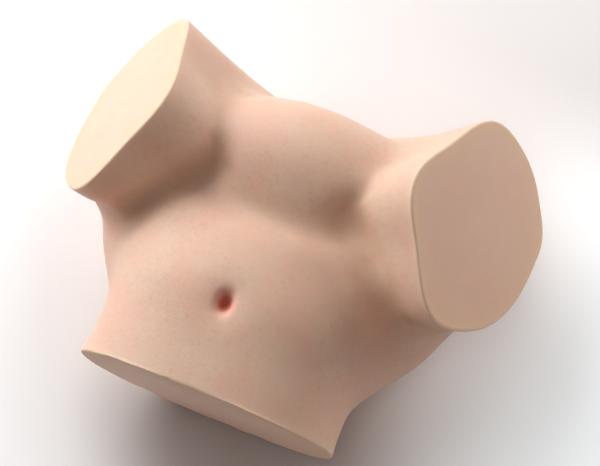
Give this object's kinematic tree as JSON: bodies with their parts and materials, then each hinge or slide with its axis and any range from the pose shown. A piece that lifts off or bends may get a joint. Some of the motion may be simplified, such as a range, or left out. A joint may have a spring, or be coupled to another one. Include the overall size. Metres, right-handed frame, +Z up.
{
  "type": "lower torso display form",
  "caption": "Soft skin-toned casting of an adult's hips with flat waist and thigh ends, lying on its back. Non-explicit.",
  "frame": {"origin": "on the surface that the form lies on, under the middle of its bounding box", "axes": "+Z up, out of the belly; +X across the hips towards image right; +Y from the waist towards the thigh stubs"},
  "size_m": [0.4826, 0.345, 0.2019],
  "materials": {
    "skin": "soft satin elastomer with fine pores",
    "gel_fill": "translucent soft gel",
    "cap": "smooth satin elastomer, as poured",
    "foam": "closed-cell rigid foam",
    "dowel_wood": "bare beech",
    "tube_steel": "drawn steel tube",
    "plug_rubber": "black moulded rubber"
  },
  "bodies": {
    "root": {"outer_skin": "skin", "soft_fill": "gel_fill", "waist_cap": "cap", "left_thigh_cap": "cap", "right_thigh_cap": "cap", "trunk_core": "foam", "left_thigh_core": "foam", "right_thigh_core": "foam", "left_core_dowel": "dowel_wood", "right_core_dowel": "dowel_wood", "core_tube": "tube_steel", "core_tube_plug": "plug_rubber"}
  },
  "joints": []
}
